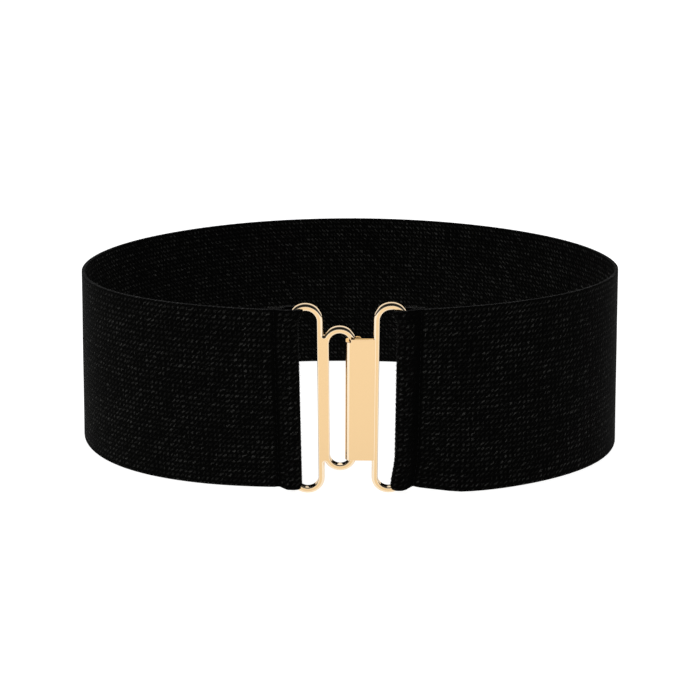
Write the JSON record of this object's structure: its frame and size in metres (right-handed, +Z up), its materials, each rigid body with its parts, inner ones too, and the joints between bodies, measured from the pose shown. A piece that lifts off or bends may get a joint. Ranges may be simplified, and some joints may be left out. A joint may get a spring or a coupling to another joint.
{
  "type": "elastic stretch belt",
  "caption": "Wide elastic stretch belt standing as an oval loop, its folded ends sewn round the rings of a flat hook-and-eye clasp.",
  "frame": {"origin": "bottom centre of the standing belt's box", "axes": "+Z up along the band's width, -Y towards the clasp at the front, +X towards the hook half, which is on the viewer's right"},
  "size_m": [0.2362, 0.1582, 0.0791],
  "materials": {
    "elastic_fabric": "matte black woven elastic with a fine slanting rib",
    "eye_metal": "polished pale gold plating",
    "hook_metal": "polished pale gold plating"
  },
  "bodies": {
    "root": {"elastic_band": "elastic_fabric", "eye_frame": "eye_metal", "hook_frame": "hook_metal"}
  },
  "joints": []
}
